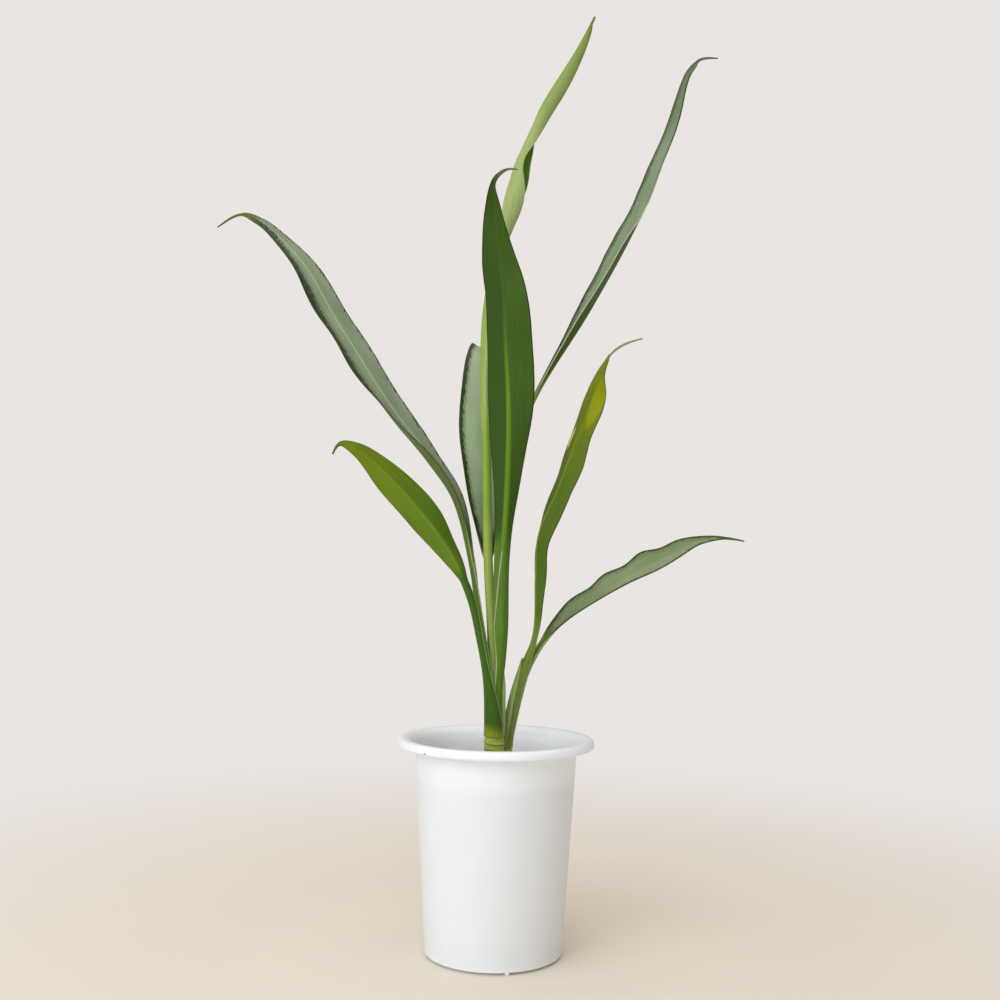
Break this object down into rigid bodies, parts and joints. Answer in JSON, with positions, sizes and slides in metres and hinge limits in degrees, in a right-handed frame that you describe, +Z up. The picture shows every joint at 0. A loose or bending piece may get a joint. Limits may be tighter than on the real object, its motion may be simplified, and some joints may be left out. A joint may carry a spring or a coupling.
{
  "type": "potted aglaonema",
  "caption": "Long-leaved aglaonema in a slim tapered white plastic pot with a flared lip: canes, clasping stalks, waved strap leaves and potting mix.",
  "frame": {"origin": "middle of the pot's base, on the surface that it stands on", "axes": "+Z up along the pot's axis, -Y towards the viewer in the reference view, +X to the viewer's right"},
  "size_m": [0.4521, 0.2638, 0.7382],
  "materials": {
    "pot": "white moulded plastic, slightly glossy",
    "soil": null,
    "cane": "yellow-green living cane with ring scars",
    "dark_leaf": "dark green living leaf, waxy",
    "olive_leaf": "olive green living leaf, waxy",
    "silver_leaf": "silver-green living leaf with a dark margin, waxy",
    "new_leaf": "pale yellow-green young leaf",
    "sheath": "thin pale clasping sheath, half dry"
  },
  "bodies": {
    "root": {"pot": "pot", "soil": "soil", "main_stem": "cane", "side_stem": "cane", "leaf_front": "dark_leaf", "leaf_left_low": "olive_leaf", "leaf_left_long": "silver_leaf", "leaf_back": "silver_leaf", "leaf_right_long": "silver_leaf", "leaf_new": "new_leaf", "leaf_right_mid": "olive_leaf", "leaf_right_low": "olive_leaf", "sheath_side": "sheath"}
  },
  "joints": []
}
